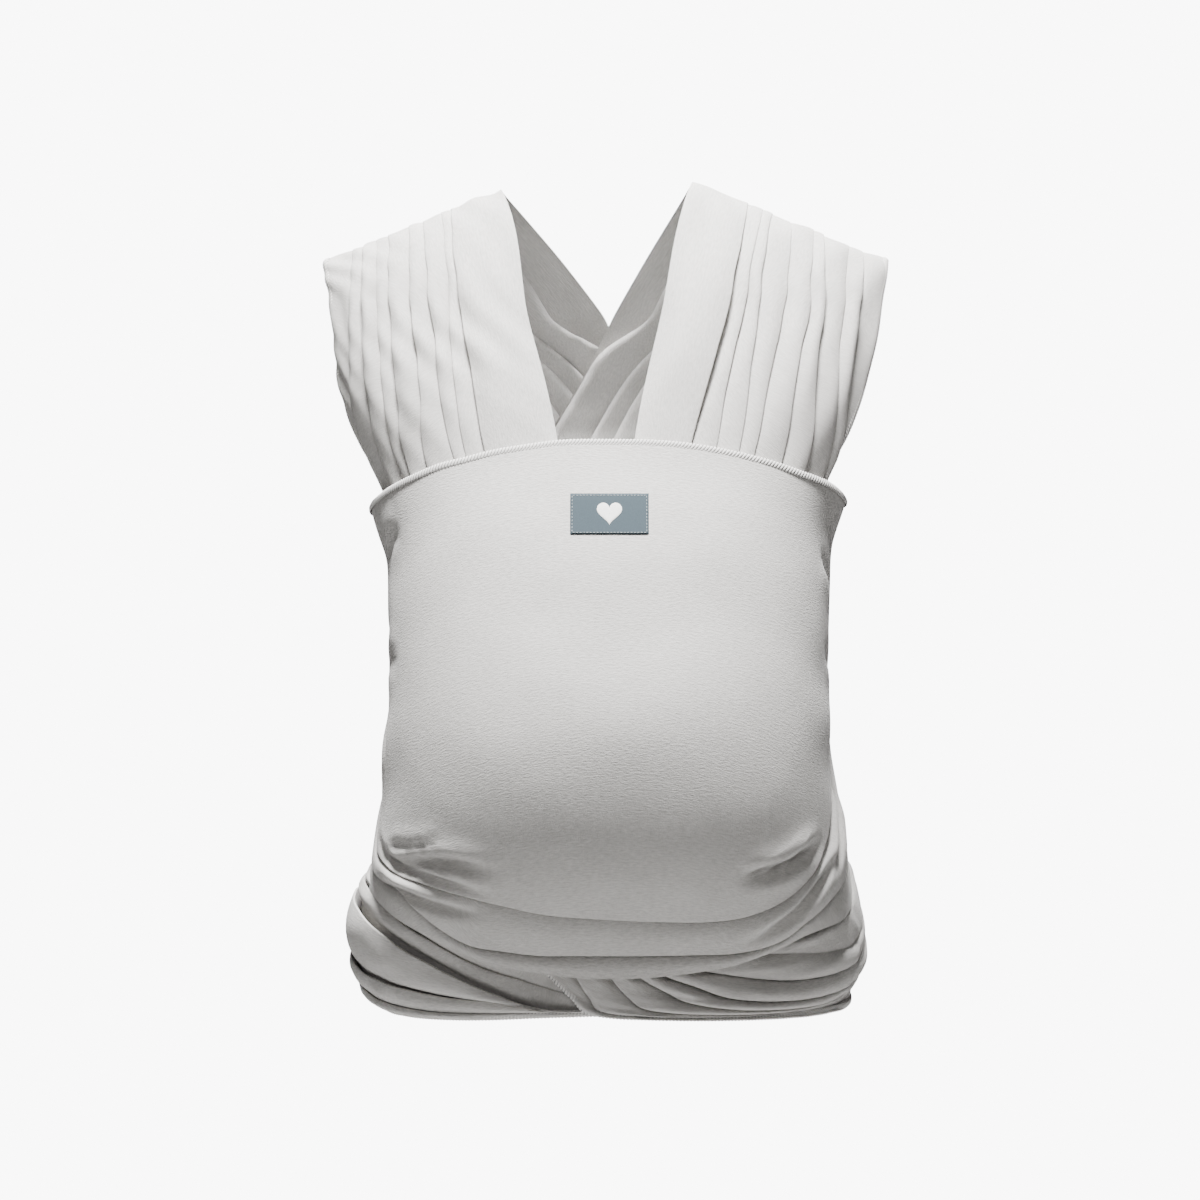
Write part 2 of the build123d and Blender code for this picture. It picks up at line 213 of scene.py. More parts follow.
def crease(points, line, depth, width, fade=0.25, ridge=0.45):
    """Height of a creased line at flat points (..., 2): a valley along the line, and a soft
    ridge on its upper side. The line fades in and out over a share of its length."""
    line = np.array(line, float)
    steps = np.linalg.norm(np.diff(line, axis=0), axis=1)
    along = np.r_[0, np.cumsum(steps)]
    best, side, place = np.full(points.shape[:-1], 9.0), 0.0, 0.0
    for i in range(len(steps)):
        a, d = line[i], line[i + 1] - line[i]
        t = np.clip(((points - a) @ d) / steps[i] ** 2, 0, 1)
        away = points - (a + t[..., None] * d)
        distance = np.linalg.norm(away, axis=-1)
        nearer = distance < best
        sign = np.sign(d[0] * away[..., 1] - d[1] * away[..., 0])
        side = np.where(nearer, sign, side)
        place = np.where(nearer, (along[i] + t * steps[i]) / along[-1], place)
        best = np.where(nearer, distance, best)
    taper = np.clip(np.minimum(place, 1 - place) / fade, 0, 1)
    taper = taper * taper * (3 - 2 * taper)
    signed = best * side
    valley = -np.exp(-((best / width) ** 2))
    upper = ridge * np.exp(-(((signed - 1.9 * width) / (1.5 * width)) ** 2))
    lower = 0.5 * ridge * np.exp(-(((signed + 2.2 * width) / (1.8 * width)) ** 2))
    return depth * taper * (valley + upper + lower)


# --- Finishes -----------------------------------------------------------------------------------
def parts_of(m):
    """A material's nodes, its links and its main shader."""
    return m.node_tree.nodes, m.node_tree.links, m.node_tree.nodes["Principled BSDF"]


def coloured(m, value, dark, light, low=0.0, high=1.0):
    """Colours a material by a value: dark at low, light at high."""
    nodes, links, shader = parts_of(m)
    ramp = nodes.new("ShaderNodeValToRGB")
    for stop, at, shade in zip(ramp.color_ramp.elements, (low, high), (dark, light), strict=True):
        stop.position, stop.color = at, (*shade, 1)
    links.new(value, ramp.inputs["Fac"])
    links.new(ramp.outputs["Color"], shader.inputs["Base Color"])


def bumped(m, height, strength, distance):
    nodes, links, shader = parts_of(m)
    relief = nodes.new("ShaderNodeBump")
    relief.inputs["Strength"].default_value = strength
    relief.inputs["Distance"].default_value = distance
    links.new(height, relief.inputs["Height"])
    links.new(relief.outputs["Normal"], shader.inputs["Normal"])


def knit(name, colour, grain=1.0, bump=0.35):
    """Single jersey: fine streaks along the cloth and a soft, slightly fuzzy surface."""
    m = bpy.data.materials.new(name)
    m.use_nodes = True
    nodes, links, shader = parts_of(m)
    shader.inputs["Roughness"].default_value = 0.92
    shader.inputs["Specular IOR Level"].default_value = 0.22
    shader.inputs["Sheen Weight"].default_value = 0.08
    shader.inputs["Sheen Roughness"].default_value = 0.45
    uv = nodes.new("ShaderNodeUVMap")
    uv.uv_map = "cloth"

    def streaks(along, across, detail):
        """Noise drawn out along the cloth; the sizes are in millimetres."""
        mapping = nodes.new("ShaderNodeMapping")
        mapping.inputs["Scale"].default_value = (1000 / along, 1000 / across, 1)
        links.new(uv.outputs["UV"], mapping.inputs["Vector"])
        noise = nodes.new("ShaderNodeTexNoise")
        noise.inputs["Scale"].default_value = 1.0
        noise.inputs["Detail"].default_value = detail
        noise.inputs["Roughness"].default_value = 0.6
        links.new(mapping.outputs["Vector"], noise.inputs["Vector"])
        return noise.outputs["Fac"]

    def mixed(a, b, share):
        mix = nodes.new("ShaderNodeMath")
        mix.operation = "MULTIPLY_ADD"
        mix.inputs[1].default_value = share
        links.new(b, mix.inputs[0])
        links.new(a, mix.inputs[2])
        return mix.outputs[0]

    fine, broad = streaks(4.5, 1.3, 3), streaks(40, 22, 2)
    dark = [c * (1 - 0.10 * grain) for c in colour]
    light = [min(1.0, c * (1 + 0.07 * grain)) for c in colour]
    scaled = mixed(fine, broad, 0.25)
    shift = nodes.new("ShaderNodeMath")
    shift.operation = "SUBTRACT"
    shift.inputs[1].default_value = 0.125
    links.new(scaled, shift.inputs[0])
    coloured(m, shift.outputs[0], dark, light, 0.30, 0.70)
    bumped(m, mixed(fine, streaks(1.6, 0.9, 2), 0.6), bump, 0.0006)
    return m


def thread(name, colour, roughness=0.75):
    """Sewing thread or satin: plied, with a slight sheen, read from the piece's own place."""
    m = bpy.data.materials.new(name)
    m.use_nodes = True
    nodes, links, shader = parts_of(m)
    shader.inputs["Roughness"].default_value = roughness
    shader.inputs["Specular IOR Level"].default_value = 0.3
    shader.inputs["Sheen Weight"].default_value = 0.15
    place = nodes.new("ShaderNodeTexCoord")
    noise = nodes.new("ShaderNodeTexNoise")
    noise.inputs["Scale"].default_value = 1400
    noise.inputs["Detail"].default_value = 2
    links.new(place.outputs["Object"], noise.inputs["Vector"])
    light = [min(1, c * 1.12) for c in colour]
    coloured(m, noise.outputs["Fac"], [c * 0.82 for c in colour], light)
    return m


def overlock_thread_painted_shade(name, colour):
    """Thread loops round an edge: painted shade, far darker than the cloth, between the loops, and
    a painted highlight on each loop's top.
    """
    m = thread(name, colour)
    nodes, links, _ = parts_of(m)
    uv = nodes.new("ShaderNodeUVMap")
    uv.uv_map = "cloth"
    parts = nodes.new("ShaderNodeSeparateXYZ")
    links.new(uv.outputs["UV"], parts.inputs[0])
    turn, loop, size = (nodes.new("ShaderNodeMath") for _ in range(3))
    turn.operation, loop.operation, size.operation = "MULTIPLY", "SINE", "ABSOLUTE"
    turn.inputs[1].default_value = float(np.pi)
    links.new(parts.outputs[0], turn.inputs[0])
    links.new(turn.outputs[0], loop.inputs[0])
    links.new(loop.outputs[0], size.inputs[0])
    light = [min(1, c * 1.15) for c in colour]
    # painted shade and highlight: the ramp darkens the thread to 0.16 of its colour between the
    # loops, where shade falls, and lifts it to 1.15 on each loop's top
    coloured(m, size.outputs[0], [c * 0.16 for c in colour], light, 0.12, 0.62)
    return m


def satin(name, colour):
    """A woven label: fine twill ribs across it."""
    m = thread(name, colour, 0.75)
    nodes, links, shader = parts_of(m)
    shader.inputs["Specular IOR Level"].default_value = 0.12
    shader.inputs["Sheen Weight"].default_value = 0.0
    place = nodes.new("ShaderNodeTexCoord")
    ribs = nodes.new("ShaderNodeTexWave")
    ribs.bands_direction = "DIAGONAL"
    ribs.inputs["Scale"].default_value = 520
    ribs.inputs["Distortion"].default_value = 0.6
    links.new(place.outputs["Object"], ribs.inputs["Vector"])
    bumped(m, ribs.outputs["Fac"], 0.3, 0.0002)
    return m


JERSEY_GREY = (0.50, 0.485, 0.465)
jersey = knit("jersey", JERSEY_GREY, 1.6, 0.6)
# the edge thread's colour carries painted shade between its loops and a painted highlight on them
edge_thread = overlock_thread_painted_shade("edge_thread", (0.56, 0.545, 0.525))
slate_satin = satin("slate_satin", (0.050, 0.068, 0.080))
label_sewing = thread("label_sewing", (0.30, 0.33, 0.34))
white_satin = satin("white_satin", (0.82, 0.82, 0.80))


# --- Making pieces ------------------------------------------------------------------------------
def add_mesh(name, points, faces, material):
    mesh = bpy.data.meshes.new(name)
    mesh.from_pydata(points, [], faces)
    mesh.polygons.foreach_set("use_smooth", np.ones(len(faces), bool))
    mesh.materials.append(material)
    obj = bpy.data.objects.new(name, mesh)
    bpy.context.scene.collection.objects.link(obj)
    return obj


def piece(name, points, material, cloth=None, flip=False, closed=False):
    """A grid of points as a mesh piece. cloth holds each point's own place on the flat cloth,
    for the knit to follow. closed joins the last column to the first."""
    rows, columns = points.shape[:2]
    index = np.arange(rows * columns).reshape(rows, columns)
    nxt = np.roll(index, -1, axis=1) if closed else index[:, 1:]
    here = index if closed else index[:, :-1]
    corners = [here[:-1], here[1:], nxt[1:], nxt[:-1]]
    if flip:
        corners.reverse()
    faces = np.stack(corners, -1).reshape(-1, 4)
    obj = add_mesh(name, points.reshape(-1, 3).tolist(), faces.tolist(), material)
    if cloth is not None:
        places = cloth.reshape(-1, 2)[faces.ravel()].astype(np.float32)
        obj.data.uv_layers.new(name="cloth").data.foreach_set("uv", places.ravel())
    return obj


def cloth_places(points):
    """Each point's distance along and across the cloth, measured on the laid grid."""
    along = np.linalg.norm(np.diff(points, axis=0), axis=-1).mean(axis=1)
    across = np.linalg.norm(np.diff(points, axis=1), axis=-1)
    u = np.r_[0, np.cumsum(along)][:, None] + 0 * points[..., 0]
    v = np.concatenate([np.zeros((len(points), 1)), np.cumsum(across, axis=1)], 1)
    return np.stack([u, v], -1)


def overlocked(name, edge, inward, out, slot="edge_thread", pitch=0.0025, band=0.0046,
               thick=0.0009):
    """The overlocked edge: slanting thread loops that wrap the cloth's edge. edge, inward and out
    are rows of points and unit directions along it."""
    along = np.r_[0, np.cumsum(np.linalg.norm(np.diff(edge, axis=0), axis=1))]
    at = np.linspace(0, along[-1], int(along[-1] / pitch) * 5 + 1)

    def read(values):
        return np.stack([np.interp(at, along, values[:, i]) for i in range(3)], -1)[:, None]

    edge, inward, out = read(edge), read(inward), read(out)
    inward = inward / np.linalg.norm(inward, axis=-1, keepdims=True)
    out = out / np.linalg.norm(out, axis=-1, keepdims=True)
    q = np.linspace(-1, 1, 13)[None]
    reach = band * abs(q)
    lift = thick * np.sign(q) * np.minimum(1, abs(q) * 3.5)
    slant = np.where(q > 0, 0.55, -0.2) * reach / pitch
    loop = abs(np.sin(np.pi * (at[:, None] / pitch + slant)))
    ends = np.clip((1 - abs(q)) * 5, 0, 1)
    lift = lift * (0.35 + 1.0 * loop**0.8 * ends)
    nub = 0.0006 * loop * np.exp(-((q / 0.2) ** 2))
    points = edge + inward * (reach - nub)[..., None] + out * lift[..., None]
    places = np.stack([at[:, None] / pitch + slant, reach / band + 0 * at[:, None]], -1)
    facing_in = (np.cross(np.gradient(edge[:, 0], axis=0), inward[:, 0]) * out[:, 0]).sum() < 0
    return piece(name, points, edge_thread, places, flip=bool(facing_in))


def edge_of(points, first):
    """A laid grid's first or last column, with its inward and outward directions."""
    reach = points.shape[1] // 4
    edge, inner = (points[:, 0], points[:, reach]) if first else (points[:, -1], points[:, -reach])
    inward = inner - edge
    along = np.gradient(edge, axis=0)
    along = along / np.linalg.norm(along, axis=1, keepdims=True)
    inward = inward - along * (inward * along).sum(axis=1, keepdims=True)
    inward = inward / np.linalg.norm(inward, axis=1, keepdims=True)
    return edge, inward, np.cross(along, inward)


def facing(edge, direction, away_from=(0, 0)):
    """direction turned to point away from a vertical axis."""
    flat = edge[:, :2] - np.array(away_from)
    sign = np.sign((direction[:, :2] * flat).sum(axis=1).mean())
    return direction * sign


def outward_sign(grid):
    """1 or -1: which way round a grid runs, seen from outside the wrap."""
    n = normals_of(grid, 1)
    return float(np.sign((n * (grid - np.array([0, 0, 0.32]))).sum()))


def smoothed(grid, passes=6):
    for _ in range(passes):
        grid[1:-1] = 0.25 * grid[:-2] + 0.5 * grid[1:-1] + 0.25 * grid[2:]
    return grid


# --- Pouch and side passes ----------------------------------------------------------------------
HEM_LINE = curve(
    (-112, 0.383), (-100, 0.372), (-71, 0.376), (-55.5, 0.386), (-47, 0.3927), (-39, 0.3995),
    (-32, 0.404), (-25, 0.409), (-18, 0.4125), (-11, 0.4155), (0, 0.4162), (10, 0.4155),
    (18, 0.4131), (27, 0.4083), (37, 0.4015), (46, 0.3948), (57, 0.3883), (68, 0.3817),
    (100, 0.377), (112, 0.383),
)
FOOT_LINE = curve(
    (-112, 0.1), (-80, 0.102), (-64.6, 0.0914), (-58.8, 0.0874), (-46.9, 0.077), (-37.6, 0.068),
    (-29.9, 0.0585), (-23.8, 0.0494), (-19.2, 0.0472), (-12.7, 0.0437), (-6, 0.0408),
    (0, 0.0403), (6.7, 0.0410), (16.6, 0.0446), (25.6, 0.05), (34, 0.0588), (43.2, 0.0687),
    (48, 0.0712), (57.7, 0.0745), (75, 0.09), (112, 0.1),
)
SMILE_FOLD = curve(
    (-112, 0.2), (-75, 0.146), (-67.8, 0.1293), (-57, 0.1169), (-45, 0.1089), (-33.7, 0.101),
    (-23.3, 0.0924), (-14.7, 0.0865), (-2.8, 0.083), (11.4, 0.081), (19, 0.0808), (28.4, 0.0839),
    (39.4, 0.0959), (50.6, 0.1166), (58.2, 0.1368), (69.2, 0.1803), (82, 0.21), (112, 0.22),
)
LOWER_FOLD = curve(
    (-112, 0.15), (-75, 0.122), (-61.6, 0.1088), (-54.2, 0.1037), (-44.2, 0.09), (-38, 0.0783),
    (-30, 0.066), (-23.8, 0.0620), (-14.8, 0.0582), (-7, 0.0581), (6.7, 0.0581), (17.7, 0.0586),
    (26.7, 0.0595), (32.8, 0.0634), (38.5, 0.0701), (43.7, 0.079), (51, 0.0881), (58.9, 0.0984),
    (66.8, 0.1099), (80, 0.125), (112, 0.15),
)
# Creases of the pouch: (line as angle and height, depth, half width), in degrees and metres.
POUCH_CREASES = [
    ([(-64, 0.1115), (-52.5, 0.1032), (-44.7, 0.0973), (-38.6, 0.093), (-33.3, 0.09),
      (-25.9, 0.0863)], 0.0032, 0.0032),
    ([(-60, 0.1262), (-55.6, 0.1225), (-49.7, 0.1218), (-42.6, 0.1222), (-35.6, 0.1215),
      (-27.7, 0.1174), (-22, 0.112)], 0.0042, 0.0040),
    ([(-69.2, 0.1406), (-60.9, 0.1263), (-52.5, 0.117), (-43.8, 0.1127), (-35.2, 0.1081),
      (-24, 0.0975)], 0.0034, 0.0030),
    ([(-62, 0.1300), (-55, 0.1318), (-48.4, 0.1322), (-38, 0.1353)], 0.0020, 0.0034),
    ([(27, 0.064), (34.6, 0.0743), (43, 0.088), (49.7, 0.1008), (57.2, 0.1154), (63, 0.128)],
     0.0040, 0.0034),
    ([(26, 0.1120), (34.9, 0.1150), (42.3, 0.1199), (49, 0.1275), (56, 0.136)], 0.0062, 0.0042),
    ([(57, 0.105), (63, 0.125), (68, 0.150), (73, 0.185)], 0.0032, 0.0036),
    ([(66, 0.11), (72, 0.135), (77, 0.165)], 0.0030, 0.0036),
    ([(-72, 0.155), (-69, 0.190), (-71, 0.230)], 0.0026, 0.0050),
    ([(-78, 0.250), (-70, 0.262), (-60, 0.258)], 0.0016, 0.0060),
    ([(-76, 0.330), (-68, 0.345), (-60, 0.352)], 0.0018, 0.0060),
    ([(76, 0.300), (70, 0.322), (62, 0.338)], 0.0020, 0.0060),
    ([(78, 0.245), (72, 0.262), (64, 0.270)], 0.0018, 0.0060),
]


CREASE_DEPTH = 1.5  # how deep the drawn creases are cut


def pouch_cloth():
    angle = np.linspace(-112, 112, 449)[:, None]
    a = np.linspace(0, 1, 161)[None]
    top, foot = HEM_LINE(angle), FOOT_LINE(angle)
    z = top + (foot - top) * a
    off = curve((-112, LAYER), (-88, 0.0034), (-60, 0.0066), (0, 0.0098), (60, 0.0066),
                (88, 0.0036), (112, 2 * LAYER))(angle)
    corner = curve((-112, 0), (-90, 0.0085), (-62, 0.004), (-40, 0), (40, 0), (64, 0.003),
                   (90, 0.0055), (112, 0))(angle)
    off = off + corner * np.exp(-(((top - z) / 0.028) ** 2))
    grid, station = evenly(outline(angle, z, off), 0.0021)
    turn = -112 + 224 * station

    def place(line):
        at = line(turn)
        share = (HEM_LINE(turn) - at) / (HEM_LINE(turn) - FOOT_LINE(turn))
        return lambda t: np.interp(t, station, share)

    def by_angle(*stations):
        values = curve(*stations)(turn)
        return lambda t: np.interp(t, station, values)

    folds = [
        (
            place(SMILE_FOLD),
            by_angle((-84, 0), (-66, 0.019), (0, 0.019), (58, 0.019), (84, 0)),
            by_angle((-84, 0), (-66, 0.0064), (-40, 0.0046), (0, 0.0034), (35, 0.0056),
                     (58, 0.0074), (84, 0)),
        ),
        (
            place(LOWER_FOLD),
            by_angle((-92, 0), (-66, 0.021), (0, 0.019), (60, 0.021), (92, 0)),
            by_angle((-92, 0), (-62, 0.0085), (-30, 0.0084), (0, 0.0074), (30, 0.0084),
                     (60, 0.0088), (92, 0)),
        ),
    ]
    rise = by_angle((-112, 0), (-70, 0.003), (-45, 0.0080), (0, 0.0096), (40, 0.0086),
                    (62, 0.005), (112, 0))
    sign = outward_sign(grid)
    points, where = lay_pleats(grid, station, folds, sign, rise, 60, 0.012, round_over=4.0)
    n = normals_of(grid, sign)
    turn = turn[:, None] + 0 * where
    height = HEM_LINE(turn) + (FOOT_LINE(turn) - HEM_LINE(turn)) * where
    flat = np.stack([turn * 0.0033, height], -1)
    dent = 0
    for line, depth, width in POUCH_CREASES:
        line = [(x * 0.0033, y) for x, y in line]
        dent = dent + crease(flat, line, CREASE_DEPTH * depth, width, 0.35)
    rng = np.random.default_rng(4)
    side = np.clip((abs(turn) - 48) / 26, 0, 1) * np.clip((112 - abs(turn)) / 20, 0, 1)
    dent = dent + side * 0.0007 * ripple(rng, flat[..., 0], flat[..., 1], (0.6, 0.08), 5)
    dent = dent + 0.0004 * ripple(rng, flat[..., 0], flat[..., 1], (0.4, 0.12), 5)
    return points + sample(n, where) * dent[..., None], sign < 0


# --- Straps: under the other arm, across the back, over the shoulder, down the chest ------------
NECK_EDGE = {
    "right": curve((0.05, 0.012), (0.25, 0.025), (0.425, 0.038), (0.461, 0.046), (0.518, 0.062),
                   (0.56, 0.072)),
    "left": curve((0.05, 0.006), (0.25, 0.012), (0.431, 0.02), (0.469, 0.028), (0.51, 0.038),
                  (0.57, 0.053)),
}
NECK_AT_RIDGE = {"right": 0.080, "left": 0.062}
PASS_OFF = {"left": LAYER, "right": 2 * LAYER}
BACK_SPARE = curve((0, 0), (0.25, 0.0022), (0.8, 0.0022), (1, 0))  # room under the upper pass


def back_rows(name, u, a):
    cut = SHOULDER_CUT
    cap = 0.95 * half_width(cut)
    upper_end = 360 - angle_at(0.004, cut, 0, True)
    lower_end = 360 - angle_at(cap, cut, 0, True)
    upper = (
        curve((0, 112), (0.4, 150), (0.65, 166), (1, upper_end))(u),
        curve((0, 0.383), (0.4, 0.4), (0.65, 0.43), (1, cut))(u),
    )
    lower = (
        curve((0, 112), (0.3, 150), (0.6, 196), (0.85, 222), (1, lower_end))(u),
        curve((0, 0.1), (0.3, 0.122), (0.6, 0.235), (0.85, 0.4), (1, cut))(u),
    )
    angle = upper[0] + (lower[0] - upper[0]) * a
    z = upper[1] + (lower[1] - upper[1]) * a
    spare = BACK_SPARE(u) if name == "right" else 0
    return outline(-SIDES[name] * angle, z, PASS_OFF[name] + spare)


def shoulder_rows(name, u, a):
    """u from the back cut, 0, to the front cut, 1."""
    side, rise = SIDES[name], np.sin(np.pi * u)
    neck = 0.004 + (NECK_EDGE[name](SHOULDER_CUT) - 0.004) * u
    neck = neck + (NECK_AT_RIDGE[name] - neck) * rise
    off = PASS_OFF[name] + (LAYER - PASS_OFF[name]) * u
    cap = CAP_SHARE[name] * (half_width(SHOULDER_CUT + 0.04 * rise) + LAYER)
    x = neck + (cap - neck) * a
    ridge = shoulder_height(x) + off
    start = np.arcsin(((SHOULDER_CUT - POUCH_TOP) / (ridge - POUCH_TOP)) ** 0.75)
    turn = start + (np.pi - 2 * start) * (1 - u)
    z = POUCH_TOP + (ridge - POUCH_TOP) * np.sin(turn) ** (4 / 3)
    lateral = (1 - (x / (half_width(z) + off)) ** ROUNDNESS) ** (1 / ROUNDNESS)
    depth = np.where(turn < np.pi / 2, front_depth(z), back_depth(z))
    y = -(depth + off) * lateral * np.cos(turn)
    return np.stack(np.broadcast_arrays(side * x, y, z), -1)


CHEST_SHARE = {
    "right": curve((0.05, 0.5), (0.25, 0.8), (0.383, 0.96), (0.44, 0.985), (0.52, 0.97)),
    "left": curve((0.05, 0.5), (0.25, 0.8), (0.383, 0.90), (0.44, 0.925), (0.52, 0.95)),
}
CAP_SHARE = {"right": 0.97, "left": 0.95}


def chest_rows(name, z, a):
    share = CHEST_SHARE[name](z)
    neck = angle_at(NECK_EDGE[name](z), z, LAYER)
    cap = angle_at(share * (half_width(z) + LAYER), z, LAYER)
    return outline(SIDES[name] * (neck + (cap - neck) * a), z, LAYER)


def strap_base(name, across=61):
    a = np.linspace(0, 1, across)[None]
    rows = [
        back_rows(name, np.linspace(0, 1, 90)[:-1, None], a),
        shoulder_rows(name, np.linspace(0, 1, 40)[:-1, None], a),
        chest_rows(name, np.linspace(SHOULDER_CUT, 0.09, 74)[:, None], a),
    ]
    return smoothed(np.concatenate(rows), 12)


# Pleats of each strap from the neck outwards: places across it where the back begins, at the
# shoulder blade, at SHOULDER_STATIONS and behind the pouch, then its depth and rise.
SHOULDER_STATIONS = (0.468, 0.49, 0.515, 0.54, 0.56, 0.58, 0.60, 0.62, 0.645, 0.67)
STRAP_PLEATS = {
    "right": [
        (0.10, 0.16, (0.32, 0.28, 0.3, 0.32, 0.28, 0.24, 0.23, 0.23, 0.24, 0.26),
         0.28, 0.020, 0.0078),
        (0.20, 0.27, (0.375, 0.34, 0.35, 0.365, 0.325, 0.285, 0.285, 0.29, 0.305, 0.335),
         0.36, 0.014, 0.0034),
        (0.32, 0.38, (0.47, 0.44, 0.45, 0.46, 0.42, 0.36, 0.34, 0.35, 0.365, 0.39),
         0.43, 0.018, 0.0050),
        (0.44, 0.49, (0.55, 0.52, 0.53, 0.55, 0.51, 0.44, 0.42, 0.42, 0.44, 0.5),
         0.53, 0.020, 0.0054),
        (0.56, 0.62, (0.66, 0.64, 0.64, 0.66, 0.62, 0.54, 0.52, 0.52, 0.54, 0.6),
         0.64, 0.022, 0.0068),
        (0.68, 0.71, (0.72, 0.705, 0.71, 0.725, 0.69, 0.61, 0.59, 0.59, 0.61, 0.67),
         0.72, 0.014, 0.0036),
        (0.80, 0.81, (0.79, 0.77, 0.78, 0.79, 0.765, 0.69, 0.67, 0.675, 0.7, 0.77),
         0.82, 0.022, 0.0078),
        (0.90, 0.89, (0.85, 0.835, 0.845, 0.86, 0.85, 0.8, 0.79, 0.81, 0.87, 0.95),
         0.95, 0.012, 0.0040),
    ],
    "left": [
        (0.10, 0.16, (0.3, 0.28, 0.29, 0.29, 0.26, 0.23, 0.22, 0.22, 0.22, 0.22),
         0.22, 0.022, 0.0078),
        (0.20, 0.26, (0.36, 0.355, 0.36, 0.355, 0.33, 0.295, 0.285, 0.29, 0.3, 0.32),
         0.33, 0.014, 0.0036),
        (0.32, 0.36, (0.42, 0.41, 0.41, 0.415, 0.385, 0.35, 0.35, 0.36, 0.385, 0.41),
         0.42, 0.018, 0.0050),
        (0.44, 0.48, (0.52, 0.5, 0.52, 0.53, 0.5, 0.445, 0.435, 0.44, 0.455, 0.48),
         0.50, 0.020, 0.0046),
        (0.56, 0.59, (0.625, 0.615, 0.625, 0.63, 0.6, 0.555, 0.535, 0.545, 0.57, 0.61),
         0.63, 0.020, 0.0062),
        (0.66, 0.67, (0.685, 0.67, 0.68, 0.69, 0.67, 0.62, 0.605, 0.625, 0.67, 0.73),
         0.74, 0.020, 0.0078),
        (0.77, 0.77, (0.8, 0.8, 0.8, 0.8, 0.78, 0.725, 0.715, 0.745, 0.8, 0.88),
         0.88, 0.014, 0.0036),
        (0.90, 0.88, (0.88, 0.87, 0.88, 0.88, 0.86, 0.81, 0.8, 0.82, 0.87, 0.95),
         0.95, 0.016, 0.0048),
    ],
}


FOLD_DEPTH = 1.2  # how deep the tables' folds are tucked


def strap_cloth(name):
    grid, station = evenly(strap_base(name), 0.0033)
    grow = curve((0, 0), (0.02, 0), (0.14, 0.6), (0.35, 1), (0.62, 1), (0.68, 0.6), (1, 0.4))
    back = {"left": 0.30, "right": 0.75}[name]  # the right strap lies on top across the back
    swell = curve((0, 0), (0.03, 0.02), (0.14, back), (0.33, back), (0.43, 0.2), (0.49, 0.17),
                  (0.53, 0.6), (0.56, 1.05), (0.61, 1.05), (0.67, 0.45), (0.72, 0.25), (1, 0.15))
    rng = np.random.default_rng({"left": 21, "right": 22}[name])
    folds = []
    for side, blade, shares, foot, depth, rise in STRAP_PLEATS[name]:
        at = (0, 0.3, *SHOULDER_STATIONS, 1)
        path = curve(*zip(at, (side, blade, *shares, foot), strict=True))
        phase, sway = rng.uniform(0, 6.3, 2), rng.uniform(0.0005, 0.0025)

        def place(t, path=path, phase=phase, sway=sway):
            return path(t) + sway * grow(t) * np.sin(16 * t + phase[0])

        folds.append((
            place,
            lambda t, depth=depth: FOLD_DEPTH * depth * grow(t),
            lambda t, rise=rise, at=phase[1]: rise * swell(t) * (1 + 0.2 * np.sin(17 * t + at)),
        ))
    sign = outward_sign(grid)

    def hem(t):
        return 0.0012 * grow(t)

    points, where = lay_pleats(grid, station, folds, sign, hem, 13, 0.11, swell)
    n = normals_of(grid, sign)
    along = station[:, None] * 1.14 + 0 * where
    across = where * widths(grid)[:, None]
    soft = grow(station)[:, None] * ripple(rng, along, across, (0.35, 0.035), 7)
    return points + sample(n, where) * (0.0011 * soft)[..., None], sign < 0


# --- Hip bands ----------------------------------------------------------------------------------
KNOT_HEIGHT, STRAND_RADIUS, STRAND_GAP, KNOT_STANDOFF = 0.096, 0.008, 0.0007, 0.021
BAND_LEG, TAIL_LEG, CLOTH = 0.062, 0.074, 0.0024
STRAND_INNER = STRAND_RADIUS + STRAND_GAP / 2


def strand_depth(name):
    reach = STRAND_RADIUS + STRAND_GAP / 2
    return reach if name == "right" else -reach


